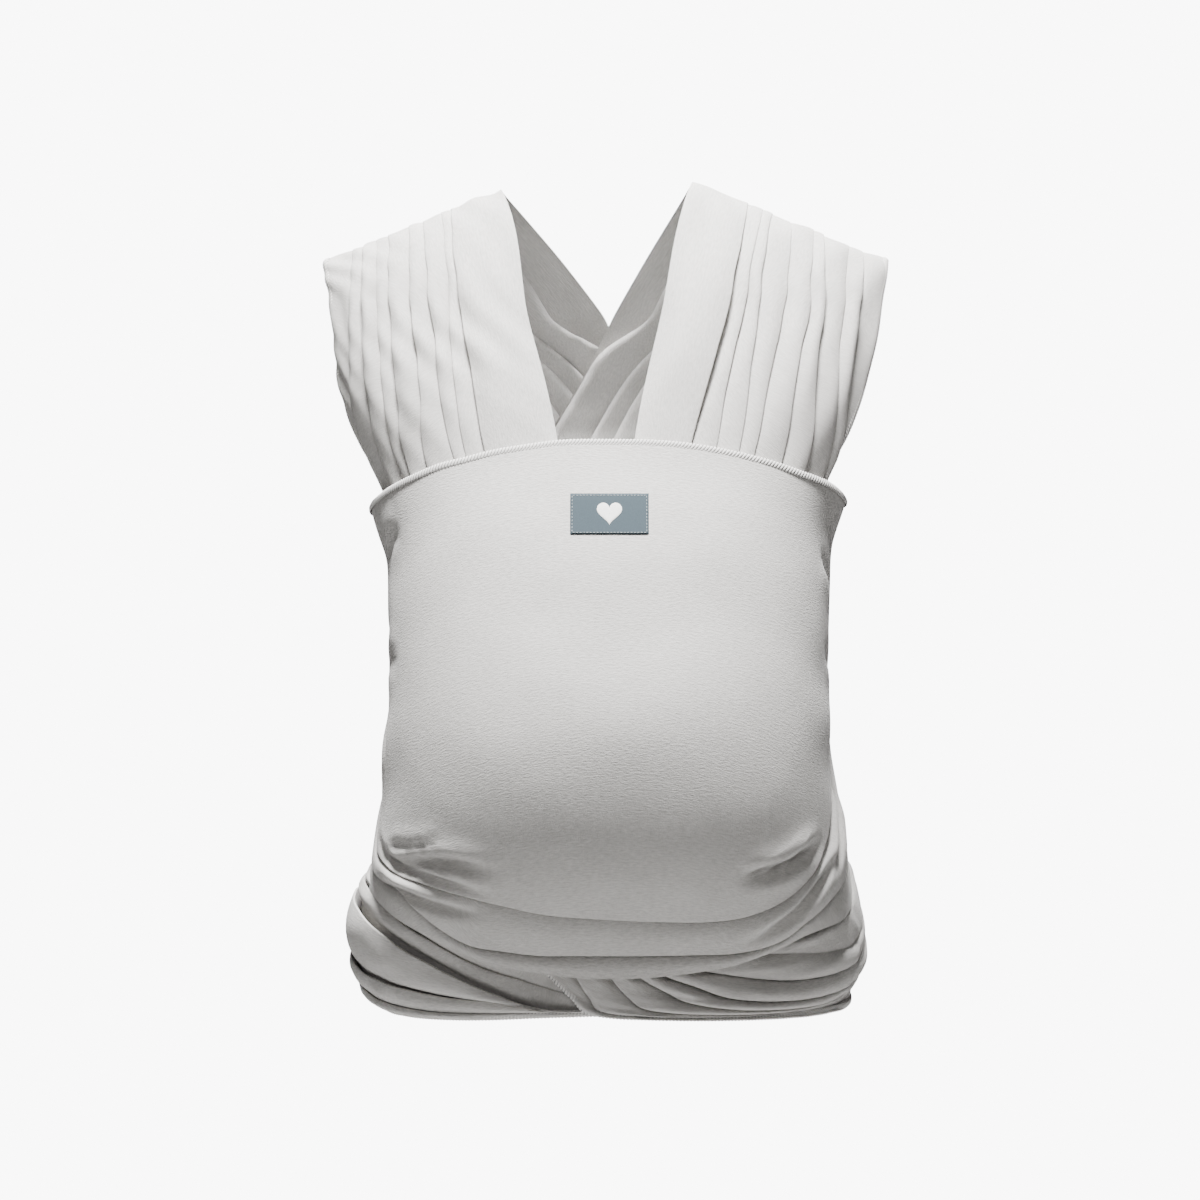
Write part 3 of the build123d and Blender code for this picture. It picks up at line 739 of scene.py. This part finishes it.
# Guide lines of each band, (place across, stations round from the crossing as angle and height).
BAND_GUIDES = {
    "left": [
        (0.00, [(20, 0.080), (30, 0.086), (38, 0.0900), (46.5, 0.0950), (55.7, 0.1000),
                (62, 0.1030), (75, 0.110), (100, 0.113), (125, 0.116)]),
        (0.10, [(25, 0.063), (33, 0.0635), (38, 0.0615), (46.5, 0.0655), (55.7, 0.0725),
                (62, 0.0785), (75, 0.092), (100, 0.110), (125, 0.115)]),
        (0.15, [(26, 0.061), (33, 0.0610), (38, 0.0590), (46.5, 0.0630), (55.7, 0.0695),
                (62, 0.0755), (75, 0.088), (100, 0.106), (125, 0.113)]),
        (0.25, [(24, 0.056), (32, 0.0548), (38, 0.0530), (46, 0.0523), (54.9, 0.0525),
                (65.4, 0.0560), (77, 0.069), (100, 0.090), (125, 0.101)]),
        (0.38, [(16, 0.054), (19.7, 0.0450), (25.7, 0.0405), (34.4, 0.0361), (45, 0.0352),
                (60, 0.040), (76, 0.050), (100, 0.070), (125, 0.086)]),
        (0.52, [(10, 0.052), (12.3, 0.0411), (19.1, 0.0322), (27.5, 0.0230), (40, 0.0200),
                (57, 0.0240), (75, 0.034), (100, 0.053), (125, 0.072)]),
        (0.64, [(4, 0.051), (6.9, 0.0398), (12.5, 0.0290), (19, 0.0195), (33, 0.0135),
                (54, 0.0150), (74, 0.024), (100, 0.040), (125, 0.061)]),
        (0.75, [(-2, 0.050), (0.4, 0.0391), (4.5, 0.0240), (10, 0.0140), (27, 0.0100),
                (51, 0.0105), (73, 0.017), (100, 0.029), (125, 0.051)]),
        (0.88, [(-9.5, 0.050), (-7.3, 0.039), (-4.6, 0.0233), (-0.5, 0.0118), (20, 0.0080),
                (48, 0.0080), (72, 0.012), (100, 0.020), (125, 0.042)]),
        (1.00, [(-18, 0.050), (-14.9, 0.0432), (-9, 0.0230), (-3.8, 0.0100), (15, 0.0062),
                (45, 0.0055), (71.6, 0.0080), (100, 0.012), (125, 0.034)]),
    ],
    "right": [
        (0.00, [(-2, 0.0095), (15, 0.0078), (28, 0.0058), (42, 0.0046), (57, 0.0056),
                (72, 0.0095), (90, 0.014), (110, 0.023), (125, 0.036)]),
        (0.16, [(-3, 0.0110), (15, 0.0112), (27.8, 0.0098), (42.4, 0.0095), (57.3, 0.0125),
                (72.5, 0.0190), (90, 0.027), (110, 0.037), (125, 0.047)]),
        (0.34, [(-4, 0.0120), (14, 0.0120), (25, 0.0190), (38.3, 0.0215), (55.8, 0.0286),
                (71, 0.037), (90, 0.045), (110, 0.053), (125, 0.062)]),
        (0.58, [(-5, 0.0125), (10, 0.0130), (17.7, 0.0150), (28, 0.0280), (45, 0.0546),
                (66, 0.0775), (90, 0.088), (110, 0.090), (125, 0.092)]),
        (0.80, [(-5, 0.020), (10, 0.0240), (20, 0.0340), (30, 0.0450), (45, 0.0680),
                (66, 0.0920), (90, 0.099), (110, 0.102), (125, 0.103)]),
        (1.00, [(-6, 0.035), (8, 0.0450), (20, 0.0540), (33, 0.0680), (47, 0.0820),
                (66, 0.1000), (90, 0.108), (110, 0.111), (125, 0.114)]),
    ],
}
# Pleats of each band: (place across, depth, rise by angle). The right band's run from its hem up.
BAND_PLEATS = {
    "left": [
        (0.25, 0.012, [(20, 0.0008), (36, 0.0016), (62, 0.0030), (125, 0.0022)]),
        (0.38, 0.014, [(10, 0.004), (24, 0.0046), (40, 0.0018), (70, 0.0026), (125, 0.0022)]),
        (0.52, 0.016, [(4, 0.0062), (22, 0.0062), (42, 0.0024), (75, 0.0022), (125, 0.0022)]),
        (0.64, 0.016, [(0, 0.0058), (20, 0.0058), (35, 0.0022), (75, 0.0012), (125, 0.0022)]),
        (0.75, 0.016, [(-4, 0.0060), (10, 0.0054), (28, 0.0012), (75, 0.0010), (125, 0.0018)]),
        (0.88, 0.012, [(-12, 0.0060), (0, 0.0052), (22, 0.0010), (125, 0.0010)]),
    ],
    "right": [
        (0.16, 0.010, [(-3, 0.0010), (20, 0.0020), (72, 0.0026), (125, 0.0016)]),
        (0.34, 0.012, [(-3, 0.0010), (22, 0.0036), (50, 0.0040), (72, 0.0030), (125, 0.0022)]),
        (0.58, 0.020, [(-3, 0.0020), (18, 0.0058), (50, 0.0062), (72, 0.0050), (125, 0.0030)]),
        (0.80, 0.012, [(-3, 0.0010), (45, 0.0024), (125, 0.0022)]),
    ],
}


PLEAT_RISE = 1.35  # how proud the pleats of the bands stand


def band_cloth(name):
    guides = BAND_GUIDES[name]
    leg = KNOT_HEIGHT + STRAND_INNER
    end_off = KNOT_STANDOFF + strand_depth(name) + CLOTH / 2 + 0.002
    end = angle_at(BAND_LEG + 0.0025, KNOT_HEIGHT, end_off, True)
    order = 1 if name == "left" else -1
    turns, heights = [], []
    u = np.linspace(0, 1, 160)
    for share, stations in guides:
        close = leg + order * STRAND_RADIUS * (1 - 2 * share)
        stations = [*stations, (float(end), close)]
        along = np.linspace(0, 1, len(stations))
        turns.append(curve(*[(s, p[0]) for s, p in zip(along, stations, strict=True)])(u))
        heights.append(curve(*[(s, p[1]) for s, p in zip(along, stations, strict=True)])(u))
    shares = np.array([share for share, _ in guides])
    a = np.linspace(0, 1, 61)

    def spread(rows):
        rows = np.array(rows)
        return np.stack([np.interp(a, shares, rows[:, i]) for i in range(len(u))])

    turn, z = spread(turns), spread(heights)
    under = 1.0 if name == "left" else 0.0
    lift = curve(
        (-14, under), (14, under), (30, 1.2), (50, 1.9), (62, 2.2), (72, 2.3), (100, 2.4),
        (125, 3.2), (end, end_off / LAYER),
    )
    off = lift(turn) * LAYER
    if name == "left":
        step = np.clip((a - 0.085) / 0.06, 0, 1)
        behind = curve((20, 0.002), (34, 0.006), (62, 0.006), (84, 0))(turn)
        off = off - behind * (1 - step * step * (3 - 2 * step))
    rim = a if name == "left" else 1 - a
    tuck = curve((50, 0), (75, 0.003), (115, 0.003), (140, 0))(turn)
    off = off - tuck * np.exp(-((rim / 0.2) ** 2))
    base = outline(SIDES[name] * turn, z, off)
    grid, station = evenly(smoothed(base, 3), 0.0022)
    middle = np.interp(station, np.linspace(0, 1, len(u)), turn[:, 30])
    folds = []
    for share, depth, stations in BAND_PLEATS[name]:
        rise = PLEAT_RISE * curve(*stations)(middle)
        fade = np.clip((1 - station) / 0.12, 0.25, 1)
        folds.append((
            level(share),
            lambda t, depth=depth: np.interp(t, station, depth * fade),
            lambda t, rise=rise: np.interp(t, station, rise * fade),
        ))
    sign = outward_sign(grid)
    points, where = lay_pleats(grid, station, folds, sign, level(0.002), 18, 0.08, round_over=2.6)
    rng = np.random.default_rng(31)
    n = normals_of(grid, sign)
    along = station[:, None] * 0.5 + 0 * where
    soft = ripple(rng, along, where * widths(grid)[:, None], (0.25, 0.03), 6)
    return points + sample(n, where) * (0.0006 * soft)[..., None], sign < 0


# --- Knot and tails -----------------------------------------------------------------------------
def strand_path(name):
    """The strand's centre line: in from the band, round the other strand, out to the tail."""
    side, r = SIDES[name], STRAND_RADIUS
    y = float(back_depth(KNOT_HEIGHT)) + KNOT_STANDOFF
    legs, middle = y + strand_depth(name), y - strand_depth(name)
    inner, outer = STRAND_INNER, STRAND_INNER + 2 * r + STRAND_GAP
    swap, settle, bend = 1.5 * r, 3.75 * r, 5.5 * r
    inward = [(settle, legs, inner), (swap, middle, inner), (-swap, middle, outer)]
    inward += [(-settle, legs, outer), (-bend, legs, outer)]
    outward = [(x, depth, -leg) for x, depth, leg in reversed(inward)]
    path = [(BAND_LEG + 0.004, legs, inner), *inward, *outward, (TAIL_LEG, legs, -inner)]
    points = np.array([(side * x, depth, KNOT_HEIGHT + leg) for x, depth, leg in path])
    steps = np.linalg.norm(np.diff(points, axis=0), axis=1)
    along = np.r_[0, np.cumsum(steps)]
    at = np.linspace(0, along[-1], 260)
    line = np.stack([np.interp(at, along, points[:, i]) for i in range(3)], -1)
    for k in range(170):
        softer = 0.25 * line[:-2] + 0.5 * line[1:-1] + 0.25 * line[2:]
        line[1:-1, ::2] = softer[:, ::2]
        if k < 60:
            line[1:-1, 1] = softer[:, 1]
    return line


def knot_strand(name):
    """A strand of the knot: the band gathered into a rope with folds running along it."""
    line = strand_path(name)
    along = np.gradient(line, axis=0)
    along = along / np.linalg.norm(along, axis=1, keepdims=True)
    side = np.cross(along, np.array([0, 1.0, 0]))
    side = side / np.maximum(np.linalg.norm(side, axis=1, keepdims=True), 1e-9)
    for i in range(1, len(side)):
        if side[i] @ side[i - 1] < 0:
            side[i] = -side[i]
    other = np.cross(along, side)
    t = np.linspace(0, 1, len(line))[:, None]
    turn = np.linspace(0, 2 * np.pi, 113)[None, :-1]
    rng = np.random.default_rng(51 if name == "left" else 52)
    twist = turn + 1.6 * t + 0.25 * np.sin(9 * t + rng.uniform(0, 6))
    lobes = 0
    for count, size in ((5, 0.11), (9, 0.075), (14, 0.035)):
        wave = count * twist + rng.uniform(0, 6) + 0.8 * np.sin(5 * t + rng.uniform(0, 6))
        lobes = lobes + size * (abs(np.sin(wave / 2)) ** 0.7 - 0.75)
    end = np.clip(np.minimum(t, 1 - t) / 0.03, 0, 1) ** 0.5
    radius = STRAND_RADIUS * (0.99 + lobes) * (0.55 + 0.45 * end)
    points = line[:, None] + radius[..., None] * (
        np.cos(turn)[..., None] * side[:, None] + np.sin(turn)[..., None] * other[:, None]
    )
    cap = points[[0, -1]].mean(axis=1, keepdims=True) + 0 * points[[0, -1]]
    cap = cap + 0.15 * (points[[0, -1]] - cap)
    return np.concatenate([cap[:1], points, cap[1:]])


def tail_cloth(name):
    """The band's loose end: gathered at the knot, opening into soft folds as it hangs."""
    y = float(back_depth(KNOT_HEIGHT)) + KNOT_STANDOFF + strand_depth(name) + 0.004
    top = KNOT_HEIGHT - STRAND_INNER - STRAND_RADIUS + 0.006
    u, a = np.linspace(0, 1, 60)[:, None], np.linspace(0, 1, 41)[None]
    half = 0.013 + 0.018 * (1 - (1 - u) ** 2)
    slant = 0.006 * (a - 0.5) * u
    x = SIDES[name] * (TAIL_LEG + (2 * a - 1) * half)
    z = top - u * 0.0765 + slant
    grid = np.stack(np.broadcast_arrays(x, y - 0.0015 + 0.001 * np.sin(3 * u), z), -1)
    grid, station = evenly(grid, 0.0011)
    rng = np.random.default_rng(61 if name == "left" else 62)
    folds = []
    for k in range(3):
        start = 0.27 + 0.2 * k
        end = 0.22 + 0.26 * k + rng.uniform(-0.03, 0.03)
        folds.append((
            curve((0, start), (0.5, (start + end) / 2), (1, end)),
            curve((0, 0.009), (1, 0.013)),
            curve((0, 0.0018), (1, 0.0026)),
        ))
    n = normals_of(grid, 1)
    sign = float(np.sign(n[..., 1].mean()))
    points, _ = lay_pleats(grid, station, folds, sign, level(0.0008), 12, 0.05)
    return points, sign < 0


# --- Building it --------------------------------------------------------------------------------
def cloth_piece(name, points, flip):
    return piece(name, points, jersey, cloth_places(points), flip)


def hem_piece(name, points, first, start=0.0, end=1.0, centre=(0, 0), **sizes):
    """An overlocked edge along a laid cloth's first or last column, between two stations."""
    edge, inward, out = edge_of(points, first)
    rows = slice(int(start * (len(edge) - 1)), int(end * (len(edge) - 1)) + 1)
    return overlocked(name, edge[rows], inward[rows], facing(edge, out, centre)[rows], **sizes)


pouch_points, turned = pouch_cloth()
pouch = cloth_piece("pouch_cloth", pouch_points, turned)
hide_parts("pouch_panel", "side_pass_left", "side_pass_right")
top_hem = hem_piece("pouch_top_edge", pouch_points, True)
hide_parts("pouch_top_hem")
for obj in (pouch, top_hem):
    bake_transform(obj)

for name, side in SIDES.items():
    points, turned = strap_cloth(name)
    strap = cloth_piece(f"strap_cloth_{name}", points, turned)
    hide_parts(f"back_pass_{name}", f"shoulder_pass_{name}", f"chest_pass_{name}")
    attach(strap, ROOT)
    edge = hem_piece(f"strap_edge_{name}", points, False)
    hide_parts(f"back_hem_{name}", f"shoulder_hem_{name}", f"chest_hem_{name}")
    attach(edge, ROOT)

    points, turned = band_cloth(name)
    band = cloth_piece(f"hip_band_{name}", points, turned)
    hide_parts(f"waist_pass_{name}")
    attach(band, ROOT)
    edge = hem_piece(f"hip_band_edge_{name}", points, name == "right")
    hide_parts(f"waist_hem_{name}")
    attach(edge, ROOT)

    points = knot_strand(name)
    strand = piece(
        f"knot_strand_cloth_{name}", points, jersey, cloth_places(points), True, True
    )
    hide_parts(f"knot_strand_{name}")
    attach(strand, ROOT)

    points, turned = tail_cloth(name)
    tail = cloth_piece(f"tail_cloth_{name}", points, turned)
    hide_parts(f"tail_{name}")
    sides = [points[:, 0], points[-1], points[:, -1][::-1]]
    rim = np.concatenate([sides[0][:-1], sides[1][:-1], sides[2]])
    middle = points[len(points) // 2].mean(axis=0)
    inward = middle - rim
    inward[:, 1] = 0
    edge = overlocked(
        f"tail_edge_{name}", rim, inward, np.tile([0, 1.0, 0], (len(rim), 1)), thick=0.0009
    )
    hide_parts(f"tail_hem_{name}")
    x, y = side * TAIL_LEG, float(points[..., 1].mean())
    for obj in (tail, edge):
        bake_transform(obj)


# --- Label --------------------------------------------------------------------------------------
def draped(target, x, z, lift):
    """Points at x and z brought back onto the front of a cloth piece, lifted off it."""
    depsgraph = bpy.context.evaluated_depsgraph_get()
    tree = BVHTree.FromObject(target, depsgraph)
    points = np.zeros((*x.shape, 3))
    for index in np.ndindex(x.shape):
        hit, normal, _, _ = tree.ray_cast(Vector((x[index], -1, z[index])), Vector((0, 1, 0)))
        points[index] = hit + Vector((0, -lift[index] if np.ndim(lift) else -lift, 0))
    return points


LABEL_WIDE, LABEL_TALL, LABEL_Z = 0.055, 0.029, 0.3632
u, v = np.meshgrid(np.linspace(-1, 1, 61), np.linspace(1, -1, 33), indexing="ij")
rim = np.maximum(abs(u), abs(v))
thick = 0.0011 - 0.0009 * np.clip((rim - 0.965) / 0.035, 0, 1) ** 2
points = draped(pouch, u * LABEL_WIDE / 2, LABEL_Z + v * LABEL_TALL / 2, thick)
label = piece("woven_label", points, slate_satin, flip=True)
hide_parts("label_patch")
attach(label, POUCH)

angle = np.linspace(0, 2 * np.pi, 97)[:-1]
heart_x = 16 * np.sin(angle) ** 3
heart_y = 13 * np.cos(angle) - 5 * np.cos(2 * angle) - 2 * np.cos(3 * angle) - np.cos(4 * angle)
reach = np.linspace(0.02, 1, 15)[:, None]
x = reach * heart_x * 0.0175 / 32
z = LABEL_Z + reach * (heart_y + 2.4) * 0.0175 / 32 + 0 * x
lift = 0.0013 + 0.0004 * (1 - reach**6) + 0 * x
points = draped(pouch, x, z, lift)
heart = piece("label_heart_embroidery", points, white_satin, closed=True, flip=True)
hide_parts("label_heart")
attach(heart, POUCH)


def stitch_row(start, end, pitch=0.0024):
    """Small sewn stitches between two places on the label, each a short rounded bead."""
    start, end = np.array(start), np.array(end)
    length = np.linalg.norm(end - start)
    count = max(1, round(length / pitch))
    beads = []
    for i in range(count):
        centre = start + (end - start) * (i + 0.5) / count
        beads.append((centre, (end - start) / length))
    return beads


def stitches(name, rows, lift, finish, target, length=0.0017, radius=0.00022):
    """Sewing stitches as one mesh, each lying on the cloth."""
    points, faces = [], []
    ring = np.linspace(0, 2 * np.pi, 7)[:-1]
    for centre, way in rows:
        q = np.linspace(-1, 1, 5)[:, None]
        size = radius * np.sqrt(np.maximum(1 - abs(q) ** 3, 0.05))
        x = centre[0] + way[0] * q * length / 2 - way[1] * size * np.cos(ring)
        z = centre[1] + way[1] * q * length / 2 + way[0] * size * np.cos(ring)
        base = draped(target, x, z, lift + size * np.sin(ring))
        first = len(points)
        points.extend(base.reshape(-1, 3).tolist())
        for i in range(4):
            for j in range(6):
                k = (j + 1) % 6
                faces.append((first + 6 * i + j, first + 6 * i + k,
                              first + 6 * i + 6 + k, first + 6 * i + 6 + j))
        faces.append(tuple(first + j for j in range(6))[::-1])
        faces.append(tuple(first + 24 + j for j in range(6)))
    return add_mesh(name, points, faces, finish)


right, up = LABEL_WIDE / 2 - 0.0014, LABEL_TALL / 2 - 0.0014
corners = [(-right, LABEL_Z - up), (right, LABEL_Z - up), (right, LABEL_Z + up),
           (-right, LABEL_Z + up)]
rows = []
for start, end in zip(corners, corners[1:] + corners[:1], strict=True):
    rows += stitch_row(start, end)
sewing = stitches("label_sewing", rows, 0.0012, label_sewing, pouch)
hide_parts("label_stitching")
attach(sewing, POUCH)

low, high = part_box("care_label")
tail_mesh = bpy.data.objects["tail_cloth_left"]
x, z = np.meshgrid(np.linspace(low.x, high.x, 13), np.linspace(high.z, low.z, 23), indexing="ij")
front = float(np.array([v.co.y for v in tail_mesh.data.vertices]).max())
bow = 0.0008 * np.sin(np.linspace(0, np.pi, 23))[None] + 0 * x
points = np.stack([x, front + 0.0005 + bow, z], -1)
care = piece("care_tape", points, white_satin, flip=False)
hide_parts("care_label")
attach(care, "left_tail")

# --- Studio -------------------------------------------------------------------------------------
bpy.ops.object.select_all(action="DESELECT")
bpy.ops.mesh.primitive_circle_add(vertices=96, radius=1.3, fill_type="NGON", location=(0, 0, -0.6))
floor = bpy.context.object
floor.name = "studio_floor"
pale = bpy.data.materials.new("pale_floor")
pale.use_nodes = True
pale.node_tree.nodes["Principled BSDF"].inputs["Base Color"].default_value = (0.6, 0.6, 0.6, 1)
pale.node_tree.nodes["Principled BSDF"].inputs["Roughness"].default_value = 0.9
floor.data.materials.append(pale)

world = bpy.data.worlds.new("studio")
bpy.context.scene.world = world
world.use_nodes = True
nodes, links = world.node_tree.nodes, world.node_tree.links
ambient = nodes["Background"]
ambient.inputs["Color"].default_value = (1, 0.995, 0.985, 1)
ambient.inputs["Strength"].default_value = 0.03
backdrop = nodes.new("ShaderNodeBackground")
backdrop.inputs["Color"].default_value = (1, 1, 1, 1)
backdrop.inputs["Strength"].default_value = 9.0
path, mix = nodes.new("ShaderNodeLightPath"), nodes.new("ShaderNodeMixShader")
links.new(path.outputs["Is Camera Ray"], mix.inputs["Fac"])
links.new(ambient.outputs[0], mix.inputs[1])
links.new(backdrop.outputs[0], mix.inputs[2])
links.new(mix.outputs[0], nodes["World Output"].inputs["Surface"])


def softbox(name, place, target, size, power, spread):
    light = bpy.data.lights.new(name, "AREA")
    light.spread = float(np.radians(spread))
    light.shape = "RECTANGLE"
    light.size, light.size_y = size
    light.energy = power
    obj = bpy.data.objects.new(name, light)
    obj.location = place
    obj.rotation_euler = (Vector(target) - Vector(place)).to_track_quat("-Z", "Y").to_euler()
    bpy.context.scene.collection.objects.link(obj)
    return obj


softbox("key_softbox", (-0.08, -0.64, 2.45), (0, -0.10, 0.38), (0.6, 0.45), 50, 70)
softbox("front_fill", (0.0, -2.6, 1.1), (0, 0, 0.40), (0.8, 0.6), 1.2, 50)
softbox("neck_fill", (0.0, -1.9, 1.25), (0, 0.05, 0.55), (0.3, 0.2), 0.16, 10)
softbox("left_softbox", (1.9, -0.7, 1.1), (0, 0, 0.35), (0.6, 1.0), 0.6, 90)
softbox("right_softbox", (-1.9, -0.7, 1.1), (0, 0, 0.35), (0.6, 1.0), 1.0, 90)
softbox("back_softbox", (0.5, 1.5, 2.2), (0, 0, 0.35), (0.8, 0.7), 19, 75)

camera = bpy.data.cameras.new("camera")
camera.lens, camera.sensor_width = 122.45, 36
view = bpy.data.objects.new("camera", camera)
view.location = (-0.0066, -3.0, 0.303)
view.rotation_euler = (np.pi / 2, 0, 0)
bpy.context.scene.collection.objects.link(view)
bpy.context.scene.camera = view
